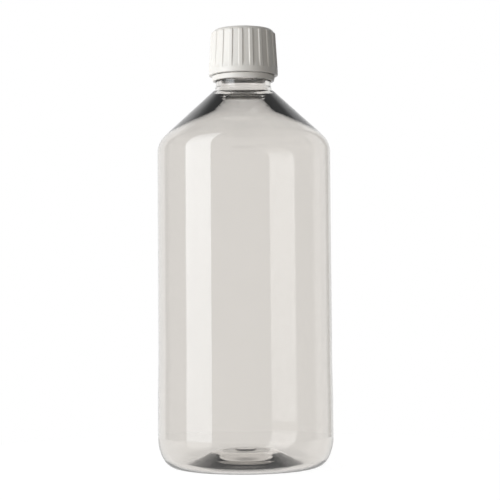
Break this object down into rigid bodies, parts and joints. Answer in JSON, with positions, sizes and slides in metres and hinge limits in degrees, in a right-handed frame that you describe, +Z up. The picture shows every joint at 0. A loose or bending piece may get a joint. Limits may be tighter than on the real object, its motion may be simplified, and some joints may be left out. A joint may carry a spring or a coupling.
{
  "type": "plastic bottle",
  "caption": "Empty clear plastic bottle with a round body, conical shoulder and push-up base, closed by a ribbed white screw cap with a tamper-evident ring.",
  "frame": {"origin": "on the bottle's axis, at the level that it stands on", "axes": "+Z up along the bottle's axis; the bottle is round, so +X and +Y are any two directions square to it"},
  "size_m": [0.0873, 0.0872, 0.2186],
  "materials": {
    "clear_pet": "clear blown PET with a faint warm grey tint, smooth and glossy inside and out",
    "white_cap": "opaque white moulded plastic with a satin skin"
  },
  "bodies": {
    "root": {"bottle": "clear_pet", "cap": "white_cap", "tamper_ring": "white_cap"}
  },
  "joints": []
}
